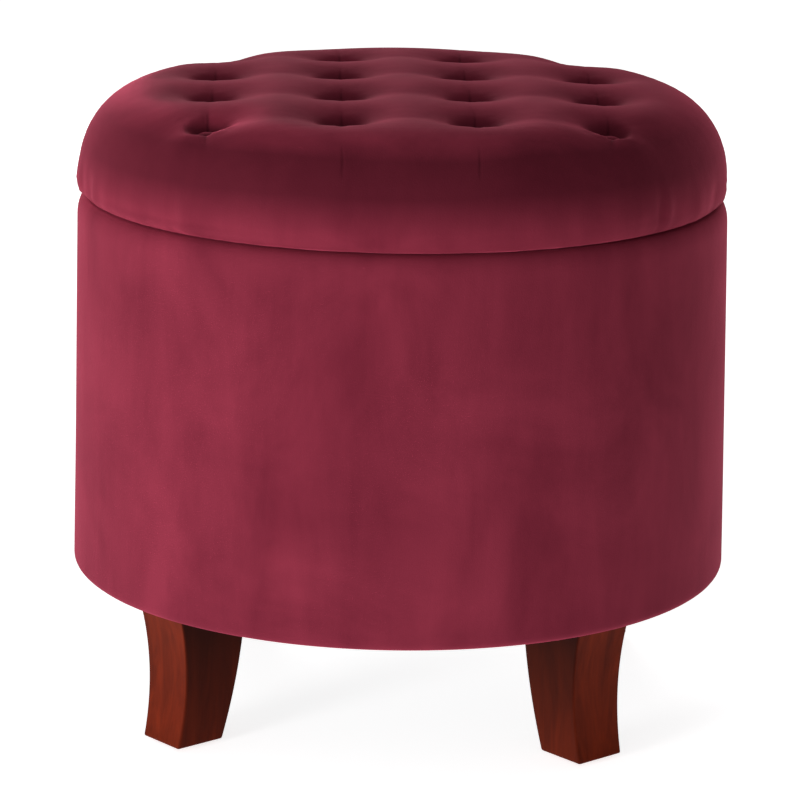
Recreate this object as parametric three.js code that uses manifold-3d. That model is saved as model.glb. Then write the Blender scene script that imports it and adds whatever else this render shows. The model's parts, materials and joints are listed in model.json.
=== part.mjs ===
// Round storage ottoman: an upholstered barrel on four sabre legs, with a button-tufted lift-off lid.
// Millimetres, +Z up. The origin is on the floor under the centre, and the front is towards -Y.
import * as THREE from "three";
import { mergeVertices } from "three/addons/utils/BufferGeometryUtils.js";
import Module from "manifold-3d";

const wasm = await Module();
wasm.setup();

// Overall shape
const BODY_RADIUS = 241.3; // outside of the cloth at the mouth of the barrel
const BODY_FLARE = 4.2; // how much further out the cloth stands near the foot
const BODY_HEIGHT = 280; // underside of the upholstery to the mouth
const LEG_HEIGHT = 104; // floor to the top of the legs
const LID_SETBACK = 1.3; // how far the lid's widest line stands inside the mouth's cloth
const LID_SIDE_HEIGHT = 11.5; // lid's underside to its widest line
const SHOULDER_HEIGHT = 66.5; // widest line to the rim of the flat top
const SHOULDER_WIDTH = 53.5; // how far the shoulder rolls in
const SHOULDER_POWER = 2.07; // 2 is an ellipse, more is squarer
const LID_CROWN = 3.5; // rise of the top from its rim to its middle
const LID_TURN = 5.4; // degrees that the loose lid sits turned from the legs

// Cloth edges
const FOOT_EDGE_RADIUS = 6; // rounding of the cloth at the barrel's foot
const MOUTH_EDGE_DROP = 15; // height of the soft edge that the padding gives the barrel's mouth
const LID_EDGE_WIDTH = 8; // how far the lid's lower edge rolls in
const TURN_UNDER = 27; // width of cloth turned over a board's edge and stapled

// Sheet thicknesses
const GAP = 0.3; // clearance between touching pieces
const COVER = 1.5; // velvet with its backing
const LINER = 0.8; // nonwoven cloth inside and underneath
const WALL_PADDING = 5.7; // foam sheet at the mouth; it fills the flare lower down
const WALL_BOARD = 5; // bent fibreboard
const INNER_BOARD = 3; // board that lines the storage space
const FLOOR_BOARD = 12;
const LID_BOARD = 12;
const LID_BOARD_INSET = 14; // lid's widest line to the edge of its board

// Frame of the barrel
const POST_COUNT = 6;
const POST_DEPTH = 22;
const POST_WIDTH = 38;
const TOP_RING_HEIGHT = 15;
const LINER_FLANGE = 12; // liner folded over the top ring

// Legs
const LEG_COUNT = 4;
const LEG_INSET = 14.5; // mouth's cloth to the outer face of a leg's top
const LEG_TOP_DEPTH = 60;
const LEG_FOOT_DEPTH = 41;
const LEG_TOP_WIDTH = 51;
const LEG_FOOT_WIDTH = 43;
const LEG_OUTER_HOLLOW = 6.5; // how far the outer face curves in
const LEG_INNER_BELLY = 3.5; // how far the inner face bulges
const LEG_EDGE = 2.5; // rounding of a leg's long edges
const LEG_NAMES = ["front_left", "front_right", "back_right", "back_left"];

// Leg fixings
const BOLT_RADIUS = 4;
const BOLT_IN_LEG = 38;
const BOLT_TIP = 8;
const TEE_BARREL_WALL = 1; // tube round the bolt
const TEE_BARREL_LENGTH = 9;
const TEE_FLANGE_RADIUS = 9;
const TEE_FLANGE_THICKNESS = 1.2;
const TEE_EDGE_CLEARANCE = 2; // flange to the storage wall
const GLIDE_RADIUS = 11;
const GLIDE_THICKNESS = 2.5;
const GLIDE_CHAMFER = 1;
const NAIL_RADIUS = 1.25;
const NAIL_LENGTH = 14;

// Locating ring under the lid
const RING_CLEARANCE = 3.5; // ring to the liner of the mouth
const RING_WALL = 12;
const RING_HEIGHT = 15;
const LID_LINER_LAP = 12; // liner over the turned-under edge of the cover
const SCREW_COUNT = 4;
const SCREW_RADIUS = 1.9;
const SCREW_HEAD_RADIUS = 4;
const SCREW_HEAD_HEIGHT = 2.6;
const SCREW_IN_BOARD = 8;
const SCREW_TIP = 3;

// Tufts
const TUFT_ROWS = 4;
const TUFT_EDGE_INSET = 40.6; // lid's side to the corner tufts
const TUFT_DEPTH = 15;
const TUFT_MOUTH_RADIUS = 22;
const BUTTON_RADIUS = 8;
const BUTTON_HEIGHT = 5;
const BUTTON_EDGE = 1.5; // rounding under a button's edge
const BUTTON_CLEARANCE = 1;
const TWINE_RADIUS = 0.6;
const TWINE_HOLE_CLEARANCE = 0.5;

// Facets
const ROUND_FACETS = 48;
const TUFT_FACETS = 8;
const SMALL_FACETS = 12;
const TWINE_FACETS = 6;
const SHOULDER_STEPS = 6;
const EDGE_STEPS = 3;

// Levels, from the floor up
const legFootZ = GLIDE_THICKNESS + GAP;
const dustZ = LEG_HEIGHT + GAP;
const bodyBottom = dustZ + LINER + GAP;
const floorBottom = bodyBottom + COVER + GAP;
const floorTop = floorBottom + FLOOR_BOARD;
const teeFlangeZ = floorTop + GAP;
const floorLinerZ = teeFlangeZ + TEE_FLANGE_THICKNESS + GAP;
const mouthZ = bodyBottom + BODY_HEIGHT;
const wallTop = mouthZ - COVER - GAP;
const topRingTop = wallTop - LINER - GAP;
const topRingBottom = topRingTop - TOP_RING_HEIGHT;
const lidLinerZ = mouthZ + GAP;
const lidBottom = lidLinerZ + LINER + GAP;
const lidBoardBottom = lidBottom + COVER + GAP;
const lidBoardTop = lidBoardBottom + LID_BOARD;
const widestZ = lidBottom + LID_SIDE_HEIGHT;
const twineRunZ = (lidBottom + lidBoardBottom) / 2;
const ringTop = lidLinerZ - GAP;
const ringBottom = ringTop - RING_HEIGHT;

// Radii, from the outside in
const flatRadius = (radius) => radius * Math.cos(Math.PI / ROUND_FACETS); // where its facets are nearest
const footRadius = BODY_RADIUS + BODY_FLARE;
const wallOuter = BODY_RADIUS - COVER - GAP - WALL_PADDING - GAP;
const frameOuter = wallOuter - WALL_BOARD - GAP;
const postOuterFace = Math.sqrt(flatRadius(frameOuter) ** 2 - (POST_WIDTH / 2) ** 2);
const innerBoardOuter = postOuterFace - POST_DEPTH - GAP;
const innerBoardInner = innerBoardOuter - INNER_BOARD;
const linerOuter = innerBoardInner - GAP;
const storageRadius = linerOuter - LINER;
const mouthTurnRadius = frameOuter + WALL_BOARD - TURN_UNDER;
const boltRadius = flatRadius(storageRadius) - TEE_EDGE_CLEARANCE - TEE_FLANGE_RADIUS;
const lidRadius = BODY_RADIUS - LID_SETBACK;
const lidBoardRadius = lidRadius - LID_BOARD_INSET;
const lidTurnRadius = lidBoardRadius + COVER - TURN_UNDER + LID_EDGE_WIDTH;
const ringOuter = flatRadius(storageRadius) - RING_CLEARANCE;
const tuftSpacing = (lidRadius - TUFT_EDGE_INSET) / ((TUFT_ROWS - 1) / 2) / Math.SQRT2;

// Finishes
const FINISHES = {
  velvet: { color: 0x7e2f3f, roughness: 0.85, metalness: 0 },
  legWood: { color: 0x5b1e0c, roughness: 0.35, metalness: 0 },
  frameWood: { color: 0xc3a274, roughness: 0.8, metalness: 0 },
  board: { color: 0x9a7b55, roughness: 0.85, metalness: 0 },
  foam: { color: 0xe8dcb8, roughness: 0.95, metalness: 0 },
  nonwoven: { color: 0x1c1b1d, roughness: 0.9, metalness: 0 },
  steel: { color: 0xb4b5b8, roughness: 0.35, metalness: 1 },
  plastic: { color: 0x2b2522, roughness: 0.5, metalness: 0 },
  twine: { color: 0xd9d0ba, roughness: 0.9, metalness: 0 },
};

function closedSolid(geometry) {
  geometry.deleteAttribute("normal");
  geometry.deleteAttribute("uv");
  const joined = mergeVertices(geometry, 1e-3);
  const corners = joined.index.array;
  const triangles = [];
  for (let i = 0; i < corners.length; i += 3) {
    const [a, b, c] = corners.slice(i, i + 3);
    if (a !== b && b !== c && c !== a) {
      triangles.push(a, b, c);
    }
  }
  const mesh = new wasm.Mesh({
    numProp: 3,
    vertProperties: new Float32Array(joined.attributes.position.array),
    triVerts: new Uint32Array(triangles),
  });
  return new wasm.Manifold(mesh);
}

function without(shape, cuts) {
  return cuts.reduce((left, cut) => left.subtract(cut), shape);
}

// A solid of revolution. The outline is [radius, z] points, anticlockwise, ending on the axis or closed.
function turned(outline, facets = ROUND_FACETS) {
  const points = outline.map(([radius, z]) => new THREE.Vector2(radius, z));
  if (outline[0][0] > 0) {
    points.push(points[0].clone());
  }
  return closedSolid(new THREE.LatheGeometry(points, facets).rotateX(Math.PI / 2));
}

function disc(radius, bottom, top, facets = ROUND_FACETS) {
  return turned([[0, bottom], [radius, bottom], [radius, top], [0, top]], facets);
}

function ring(inner, outer, bottom, top) {
  return turned([[inner, bottom], [outer, bottom], [outer, top], [inner, top]]);
}

function quarter(steps, place) {
  const points = [];
  for (let i = 0; i <= steps; i += 1) {
    const angle = (i / steps) * (Math.PI / 2);
    points.push(place(Math.cos(angle), Math.sin(angle)));
  }
  return points;
}

function around(count, radius, startAngle, make) {
  return Array.from({ length: count }, (_, i) => {
    const angle = startAngle + (i * 2 * Math.PI) / count;
    return make(radius * Math.cos(angle), radius * Math.sin(angle), angle);
  });
}

function part(name, shape, finish) {
  const data = shape.getMesh();
  const geometry = new THREE.BufferGeometry();
  geometry.setAttribute("position", new THREE.BufferAttribute(data.vertProperties, 3));
  geometry.setIndex(new THREE.BufferAttribute(data.triVerts, 1));
  const material = new THREE.MeshStandardMaterial({ ...FINISHES[finish], flatShading: true });
  const mesh = new THREE.Mesh(geometry, material);
  mesh.name = name;
  return mesh;
}

// Outside of the barrel's cloth, moved in by depth: foot, foot edge, side, mouth edge, mouth.
function barrelOutline(depth, innerFoot, innerMouth) {
  const bottom = bodyBottom + depth;
  const top = mouthZ - depth;
  const foot = footRadius - depth;
  const mouth = BODY_RADIUS - depth;
  const footEdge = Math.max(FOOT_EDGE_RADIUS - depth, 1);
  const mouthWidth = Math.max(COVER + WALL_PADDING - depth, 1);
  const mouthDrop = Math.max(MOUTH_EDGE_DROP - depth, 1);
  return [
    [innerFoot, bottom],
    ...quarter(EDGE_STEPS, (c, s) => [foot - footEdge + footEdge * s, bottom + footEdge - footEdge * c]),
    ...quarter(EDGE_STEPS, (c, s) => [mouth - mouthWidth + mouthWidth * c, top - mouthDrop + mouthDrop * s]),
    [innerMouth, top],
  ];
}

function bodyCover() {
  const outside = barrelOutline(0, mouthTurnRadius, mouthTurnRadius);
  const inside = barrelOutline(COVER, mouthTurnRadius, mouthTurnRadius).reverse();
  return turned([...outside, ...inside]);
}

function wallPadding() {
  return turned(barrelOutline(COVER + GAP, wallOuter + GAP, wallOuter + GAP));
}

function wallPost() {
  const post = new THREE.BoxGeometry(POST_DEPTH, POST_WIDTH, topRingBottom - floorTop - 2 * GAP);
  post.translate(postOuterFace - POST_DEPTH / 2, 0, (topRingBottom + floorTop) / 2);
  return closedSolid(post);
}

function wallLiner() {
  const flangeRadius = innerBoardInner + LINER_FLANGE;
  const bottom = floorLinerZ + LINER + GAP;
  return turned([
    [storageRadius, bottom],
    [linerOuter, bottom],
    [linerOuter, topRingTop + GAP],
    [flangeRadius, topRingTop + GAP],
    [flangeRadius, wallTop],
    [storageRadius, wallTop],
  ]);
}

function holesAtLegs(radius, bottom, top) {
  const hole = disc(radius, bottom, top, SMALL_FACETS);
  return around(LEG_COUNT, boltRadius, Math.PI / LEG_COUNT, (x, y) => hole.translate([x, y, 0]));
}

// One leg, square to the radius, with its outer face towards +X.
function leg() {
  const outer = BODY_RADIUS - LEG_INSET;
  const inner = outer - LEG_TOP_DEPTH;
  const footInner = outer - LEG_FOOT_DEPTH;
  const middle = (LEG_HEIGHT + legFootZ) / 2;
  const side = new THREE.Shape();
  side.moveTo(footInner, legFootZ);
  side.lineTo(outer, legFootZ);
  side.quadraticCurveTo(outer - 2 * LEG_OUTER_HOLLOW, middle, outer, LEG_HEIGHT);
  side.lineTo(inner, LEG_HEIGHT);
  side.quadraticCurveTo((inner + footInner) / 2 - 2 * LEG_INNER_BELLY, middle, footInner, legFootZ);
  const block = new THREE.ExtrudeGeometry(side, {
    depth: LEG_TOP_WIDTH - 2 * LEG_EDGE,
    curveSegments: 6,
    bevelThickness: LEG_EDGE,
    bevelSize: LEG_EDGE,
    bevelOffset: -LEG_EDGE,
    bevelSegments: 2,
  });
  block.rotateX(Math.PI / 2);
  block.translate(0, LEG_TOP_WIDTH / 2 - LEG_EDGE, 0);
  narrowToFoot(block.attributes.position);
  const boltHole = disc(BOLT_RADIUS + GAP, LEG_HEIGHT - BOLT_IN_LEG - GAP, LEG_HEIGHT + 1, SMALL_FACETS);
  const nailTop = GLIDE_THICKNESS + NAIL_LENGTH + GAP;
  const nailHole = disc(NAIL_RADIUS + GAP, 0, nailTop, SMALL_FACETS);
  const glidePlace = [glideRadius(), 0, 0];
  return without(closedSolid(block), [boltHole.translate([boltRadius, 0, 0]), nailHole.translate(glidePlace)]);
}

function narrowToFoot(position) {
  for (let i = 0; i < position.count; i += 1) {
    const share = (position.getZ(i) - legFootZ) / (LEG_HEIGHT - legFootZ);
    const width = THREE.MathUtils.lerp(LEG_FOOT_WIDTH, LEG_TOP_WIDTH, share);
    position.setY(i, (position.getY(i) * width) / LEG_TOP_WIDTH);
  }
}

function glideRadius() {
  return BODY_RADIUS - LEG_INSET - LEG_FOOT_DEPTH / 2;
}

function glide() {
  const shape = turned([
    [0, 0],
    [GLIDE_RADIUS - GLIDE_CHAMFER, 0],
    [GLIDE_RADIUS, GLIDE_CHAMFER],
    [GLIDE_RADIUS, GLIDE_THICKNESS],
    [NAIL_RADIUS, GLIDE_THICKNESS],
    [NAIL_RADIUS, GLIDE_THICKNESS + NAIL_LENGTH - NAIL_RADIUS],
    [0, GLIDE_THICKNESS + NAIL_LENGTH],
  ], SMALL_FACETS);
  return shape.translate([glideRadius(), 0, 0]);
}

function hangerBolt() {
  const bottom = LEG_HEIGHT - BOLT_IN_LEG;
  const top = teeFlangeZ + TEE_FLANGE_THICKNESS - GAP;
  const shape = turned([
    [0, bottom],
    [BOLT_RADIUS / 2, bottom + BOLT_TIP / 2],
    [BOLT_RADIUS, bottom + BOLT_TIP],
    [BOLT_RADIUS, top],
    [0, top],
  ], SMALL_FACETS);
  return shape.translate([boltRadius, 0, 0]);
}

function teeNut() {
  const inner = BOLT_RADIUS + GAP;
  const outer = inner + TEE_BARREL_WALL;
  const top = teeFlangeZ + TEE_FLANGE_THICKNESS;
  const shape = turned([
    [inner, teeFlangeZ - TEE_BARREL_LENGTH],
    [outer, teeFlangeZ - TEE_BARREL_LENGTH],
    [outer, teeFlangeZ],
    [TEE_FLANGE_RADIUS, teeFlangeZ],
    [TEE_FLANGE_RADIUS, top],
    [inner, top],
  ], SMALL_FACETS);
  return shape.translate([boltRadius, 0, 0]);
}

// Height of the lid's top surface, moved in by depth, at a radius inside its widest line.
function domeHeight(radius, depth) {
  const rim = lidRadius - SHOULDER_WIDTH;
  const top = widestZ + SHOULDER_HEIGHT - depth;
  if (radius <= rim) {
    return top + LID_CROWN * (1 - (radius / rim) ** 2);
  }
  const across = (radius - rim) / (SHOULDER_WIDTH - depth);
  const share = (1 - across ** SHOULDER_POWER) ** (1 / SHOULDER_POWER);
  return widestZ + (SHOULDER_HEIGHT - depth) * share;
}

// The lid's whole outside, moved in by depth: underside, lower edge, shoulder and crown.
function domeOutline(depth) {
  const rim = lidRadius - SHOULDER_WIDTH;
  const widest = lidRadius - depth;
  const bottom = lidBottom + depth;
  const edgeWidth = Math.max(LID_EDGE_WIDTH - depth, 1);
  const edge = quarter(EDGE_STEPS, (c, s) => [
    widest - edgeWidth + edgeWidth * s,
    widestZ - (widestZ - bottom) * c,
  ]);
  const shoulder = quarter(SHOULDER_STEPS, (c, s) => [
    rim + (widest - rim) * c ** (2 / SHOULDER_POWER),
    widestZ + (SHOULDER_HEIGHT - depth) * s ** (2 / SHOULDER_POWER),
  ]);
  const crown = [0.67, 0.33, 0].map((share) => [rim * share, domeHeight(rim * share, depth)]);
  return [[0, bottom], ...edge, ...shoulder.slice(1), ...crown];
}

// Every tuft's place on the lid, with its row and column.
function tufts() {
  const middle = (TUFT_ROWS - 1) / 2;
  const places = [];
  for (let row = 0; row < TUFT_ROWS; row += 1) {
    for (let column = 0; column < TUFT_ROWS; column += 1) {
      const x = (column - middle) * tuftSpacing;
      const y = (row - middle) * tuftSpacing;
      const seatZ = domeHeight(Math.hypot(x, y), 0) - TUFT_DEPTH;
      places.push({ row: row + 1, column: column + 1, x, y, seatZ });
    }
  }
  return places;
}

// A bell-shaped pocket that a button sits in, grown outwards by depth.
function tuftPocket({ x, y, seatZ }, depth) {
  const seat = BUTTON_RADIUS + BUTTON_CLEARANCE + depth;
  const mouth = TUFT_MOUTH_RADIUS + depth;
  const bottom = seatZ - depth;
  const over = bottom + 1.6 * TUFT_DEPTH;
  const shape = turned([
    [0, bottom],
    [seat, bottom],
    [(seat + mouth) / 2, bottom + 0.7 * TUFT_DEPTH],
    [2 * mouth - seat, over],
    [0, over],
  ], TUFT_FACETS);
  return shape.translate([x, y, 0]);
}

function twineHoles(bottom, top) {
  const hole = disc(TWINE_RADIUS + TWINE_HOLE_CLEARANCE, bottom, top, TWINE_FACETS);
  return tufts().map(({ x, y }) => hole.translate([x, y, 0]));
}

function tuftedDome(depth) {
  const pockets = tufts().map((tuft) => tuftPocket(tuft, depth));
  return without(turned(domeOutline(depth)), pockets);
}

function lidCover() {
  const shell = tuftedDome(0).subtract(tuftedDome(COVER));
  const opening = disc(lidTurnRadius, lidBottom - 1, lidBottom + 2 * COVER);
  return without(shell, [opening, ...twineHoles(lidBoardTop, widestZ + SHOULDER_HEIGHT)]);
}

function lidFoam() {
  const recess = disc(lidBoardRadius + GAP, lidBottom, lidBoardTop + GAP);
  const holes = twineHoles(lidBoardTop, widestZ + SHOULDER_HEIGHT);
  return without(tuftedDome(COVER + GAP), [recess, ...holes]);
}

function button({ x, y, seatZ }) {
  const bottom = seatZ + GAP;
  const cap = quarter(EDGE_STEPS, (c, s) => [
    BUTTON_RADIUS * c,
    bottom + BUTTON_EDGE + (BUTTON_HEIGHT - BUTTON_EDGE) * s,
  ]);
  cap[EDGE_STEPS][0] = 0;
  const shape = turned([[0, bottom], [BUTTON_RADIUS - BUTTON_EDGE, bottom], ...cap], TUFT_FACETS);
  return shape.translate([x, y, 0]);
}

function twineRow(row) {
  const places = tufts().filter((tuft) => tuft.row === row);
  const span = places[TUFT_ROWS - 1].x - places[0].x;
  const run = new THREE.CylinderGeometry(TWINE_RADIUS, TWINE_RADIUS, span, TWINE_FACETS);
  run.rotateZ(Math.PI / 2);
  run.translate(0, places[0].y, twineRunZ);
  const strand = ({ x, y, seatZ }) => disc(TWINE_RADIUS, twineRunZ, seatZ, TWINE_FACETS).translate([x, y, 0]);
  return places.reduce((whole, tuft) => whole.add(strand(tuft)), closedSolid(run));
}

// A countersunk screw pointing up into the lid board, or, grown, the hole that takes it.
function screw(grow) {
  const top = lidBoardBottom + SCREW_IN_BOARD;
  return turned([
    [0, ringBottom - grow],
    [SCREW_HEAD_RADIUS + grow, ringBottom - grow],
    [SCREW_HEAD_RADIUS + grow, ringBottom + grow],
    [SCREW_RADIUS + grow, ringBottom + SCREW_HEAD_HEIGHT + grow],
    [SCREW_RADIUS + grow, top - SCREW_TIP],
    [0, top + grow],
  ], SMALL_FACETS);
}

function screwsAtRing(grow, startAngle) {
  const place = flatRadius(ringOuter) - RING_WALL / 2;
  return around(SCREW_COUNT, place, startAngle, (x, y) => screw(grow).translate([x, y, 0]));
}

function barrel() {
  const group = new THREE.Group();
  group.add(part("body_cover", bodyCover(), "velvet"));
  group.add(part("wall_padding", wallPadding(), "foam"));
  group.add(part("wall_board", ring(wallOuter - WALL_BOARD, wallOuter, floorBottom, wallTop), "board"));
  group.add(part("top_ring", ring(innerBoardInner, frameOuter, topRingBottom, topRingTop), "frameWood"));
  const boardHoles = holesAtLegs(BOLT_RADIUS + TEE_BARREL_WALL + 2 * GAP, floorBottom - 1, floorTop + 1);
  group.add(part("floor_board", without(disc(frameOuter, floorBottom, floorTop), boardHoles), "frameWood"));
  const innerTop = topRingBottom - GAP;
  group.add(part("inner_board", ring(innerBoardInner, innerBoardOuter, floorTop + GAP, innerTop), "board"));
  group.add(part("wall_liner", wallLiner(), "nonwoven"));
  group.add(part("floor_liner", disc(linerOuter, floorLinerZ, floorLinerZ + LINER), "nonwoven"));
  const dustHoles = holesAtLegs(BOLT_RADIUS + GAP, dustZ - 1, dustZ + LINER + 1);
  group.add(part("dust_cover", without(disc(frameOuter, dustZ, dustZ + LINER), dustHoles), "nonwoven"));
  around(POST_COUNT, 0, 0, (x, y, angle) => angle).forEach((angle, i) => {
    const post = part(`wall_post_${i + 1}`, wallPost(), "frameWood");
    post.rotation.z = angle;
    group.add(post);
  });
  return group;
}

function legSets() {
  const group = new THREE.Group();
  LEG_NAMES.forEach((name, i) => {
    const set = new THREE.Group();
    set.add(part(`leg_${name}`, leg(), "legWood"));
    set.add(part(`hanger_bolt_${name}`, hangerBolt(), "steel"));
    set.add(part(`tee_nut_${name}`, teeNut(), "steel"));
    set.add(part(`glide_${name}`, glide(), "plastic"));
    set.rotation.z = ((2 * i - LEG_COUNT + 1) * Math.PI) / LEG_COUNT;
    group.add(set);
  });
  return group;
}

function lid() {
  const group = new THREE.Group();
  const screwStart = Math.PI / SCREW_COUNT;
  const screwHoles = screwsAtRing(GAP, screwStart);
  const board = disc(lidBoardRadius, lidBoardBottom, lidBoardTop);
  const boardHoles = [...screwHoles, ...twineHoles(lidBoardBottom - 1, lidBoardTop + 1)];
  group.add(part("lid_cover", lidCover(), "velvet"));
  group.add(part("lid_foam", lidFoam(), "foam"));
  group.add(part("lid_board", without(board, boardHoles), "frameWood"));
  const liner = disc(lidTurnRadius + LID_LINER_LAP, lidLinerZ, lidLinerZ + LINER);
  group.add(part("lid_liner", without(liner, screwHoles), "nonwoven"));
  const locatingRing = ring(ringOuter - RING_WALL, ringOuter, ringBottom, ringTop);
  group.add(part("locating_ring", without(locatingRing, screwHoles), "frameWood"));
  screwsAtRing(0, screwStart).forEach((shape, i) => group.add(part(`ring_screw_${i + 1}`, shape, "steel")));
  tufts().forEach((tuft) => {
    group.add(part(`tuft_button_${tuft.row}_${tuft.column}`, button(tuft), "velvet"));
  });
  for (let row = 1; row <= TUFT_ROWS; row += 1) {
    group.add(part(`tuft_twine_row_${row}`, twineRow(row), "twine"));
  }
  group.rotation.z = THREE.MathUtils.degToRad(LID_TURN);
  return group;
}

const ottoman = new THREE.Group();
ottoman.add(barrel(), legSets(), lid());

export default ottoman;
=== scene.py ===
import json
import math

import bmesh
import bpy
import numpy as np
from mathutils import Matrix, Vector


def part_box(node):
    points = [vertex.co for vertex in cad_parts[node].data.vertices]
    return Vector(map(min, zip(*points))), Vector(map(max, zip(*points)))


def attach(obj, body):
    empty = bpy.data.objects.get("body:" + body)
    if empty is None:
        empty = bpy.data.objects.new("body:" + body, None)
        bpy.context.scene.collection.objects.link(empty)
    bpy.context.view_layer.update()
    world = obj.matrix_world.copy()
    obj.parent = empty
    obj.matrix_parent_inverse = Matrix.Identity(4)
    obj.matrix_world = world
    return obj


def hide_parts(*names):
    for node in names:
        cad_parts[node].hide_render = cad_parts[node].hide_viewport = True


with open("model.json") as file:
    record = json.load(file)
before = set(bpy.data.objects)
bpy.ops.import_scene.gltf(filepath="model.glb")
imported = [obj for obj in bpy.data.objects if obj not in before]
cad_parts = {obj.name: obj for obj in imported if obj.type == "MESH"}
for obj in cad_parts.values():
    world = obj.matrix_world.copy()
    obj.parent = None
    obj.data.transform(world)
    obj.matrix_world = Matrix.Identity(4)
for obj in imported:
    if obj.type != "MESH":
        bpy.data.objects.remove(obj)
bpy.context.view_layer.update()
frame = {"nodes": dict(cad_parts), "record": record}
nodes = frame["nodes"]
print("frame loaded:", len(nodes), "nodes")

corners = ["front_left", "front_right", "back_right", "back_left"]
tuftNames = [f"{row}_{column}" for row in range(1, 5) for column in range(1, 5)]
lidFoot, lidTop = (corner.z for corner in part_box("lid_cover"))
lidTurn = math.atan2(*reversed([*(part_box("tuft_button_2_3")[0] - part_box("tuft_button_2_2")[0])][:2]))
tuftPlaces = [(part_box("tuft_button_" + name)[0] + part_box("tuft_button_" + name)[1]) / 2 for name in tuftNames]
tuftSpacing = (tuftPlaces[1] - tuftPlaces[0]).length


# shader maths written as Python expressions
class Graph:
    def __init__(self, material):
        material.use_nodes = True
        self.tree = material.node_tree
        self.tree.nodes.clear()

    # settings are set first, then inputs by name take a value or a link
    def node(self, kind, settings=None, **links):
        made = self.tree.nodes.new("ShaderNode" + kind)
        for name, value in (settings or {}).items():
            if name == "stops":
                self.setStops(made.color_ramp, value)
            else:
                setattr(made, name, value)
        for name, value in links.items():
            self.connect(made.inputs[name.replace("_", " ")], value)
        return made

    def setStops(self, ramp, stops):
        while len(ramp.elements) < len(stops):
            ramp.elements.new(0.5)
        for element, (place, colour) in zip(ramp.elements, stops):
            element.position = place
            element.color = (*colour, 1)

    def connect(self, socket, value):
        if isinstance(value, Wire):
            self.tree.links.new(value.socket, socket)
        elif isinstance(value, bpy.types.NodeSocket):
            self.tree.links.new(value, socket)
        else:
            socket.default_value = value

    def math(self, operation, *values):
        made = self.node("Math", {"operation": operation})
        for socket, value in zip(made.inputs, values):
            self.connect(socket, value)
        return Wire(self, made.outputs[0])

    def wire(self, made):
        return Wire(self, made.outputs[0])

    def coords(self, scale=(1, 1, 1)):
        place = self.node("TexCoord").outputs["Object"]
        return self.wire(self.node("Mapping", Vector=place, Scale=scale))

    def noise(self, where, scale, detail=3.0, rough=0.5, distortion=0.0):
        made = self.node("TexNoise", Vector=where, Scale=scale, Detail=detail, Roughness=rough, Distortion=distortion)
        return Wire(self, made.outputs["Fac"])

    def mix(self, share, first, second):
        made = self.node("Mix", {"data_type": "RGBA"})
        for index, value in ((0, share), (6, first), (7, second)):
            self.connect(made.inputs[index], (*value, 1) if isinstance(value, tuple) else value)
        return Wire(self, made.outputs[2])

    def bump(self, height, distance, strength=1.0, below=None):
        made = self.node("Bump", Height=height, Distance=distance, Strength=strength)
        if below is not None:
            self.connect(made.inputs["Normal"], below)
        return Wire(self, made.outputs["Normal"])

    def surface(self, **sockets):
        shader = self.node("BsdfPrincipled", **sockets)
        out = self.node("OutputMaterial")
        self.tree.links.new(shader.outputs[0], out.inputs["Surface"])
        return shader


class Wire:
    def __init__(self, graph, socket):
        self.graph = graph
        self.socket = socket

    def __add__(self, other):
        return self.graph.math("ADD", self, other)

    __radd__ = __add__

    def __sub__(self, other):
        return self.graph.math("SUBTRACT", self, other)

    def __rsub__(self, other):
        return self.graph.math("SUBTRACT", other, self)

    def __mul__(self, other):
        return self.graph.math("MULTIPLY", self, other)

    __rmul__ = __mul__

    def clamp(self, low, high):
        made = self.graph.node("MapRange", Value=self, From_Min=low, From_Max=high)
        return self.graph.wire(made)


velvet = {
    "deep": (0.115, 0.010, 0.022),
    "lit": (0.205, 0.022, 0.042),
    "sheenTint": (0.82, 0.10, 0.185, 1),
    "sheen": 0.55,
    # the next two entries give the painted shade: its colour, used on the lid's shoulder band and at the creases, and
    # its share on the shoulder
    "paintedShade": (0.035, 0.002, 0.006),
    "shoulderPaintedShadeShare": 0.67,
    "creaseWidth": 0.0017,
    "sheenRoughness": 0.42,
    "patchScale": 9.0,
    "pileScale": 900.0,
    "pileHeight": 0.0003,
}


# share of a thin crease at each button, along the front-to-back lines of the tufts
def creaseShare(g):
    turned = g.node("Mapping", Vector=g.coords(), Rotation=(0, 0, -lidTurn), Scale=(1 / tuftSpacing,) * 3)
    split = g.node("SeparateXYZ", Vector=g.wire(turned))
    across, along = (Wire(g, split.outputs[axis]) for axis in "XY")
    wander = (g.noise(g.coords(), 60.0) - 0.5) * 0.02
    fromLine = g.math("ABSOLUTE", g.math("FRACT", across + wander) - 0.5) * tuftSpacing
    fromRow = g.math("ABSOLUTE", g.math("FRACT", along) - 0.5) * tuftSpacing
    height = Wire(g, g.node("SeparateXYZ", Vector=g.coords()).outputs["Z"])
    onTop = height.clamp(lidTop - 0.032, lidTop - 0.022)
    return (1.0 - fromLine.clamp(0.0, velvet["creaseWidth"])) * (1.0 - fromRow.clamp(0.010, 0.030)) * onTop


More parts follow.
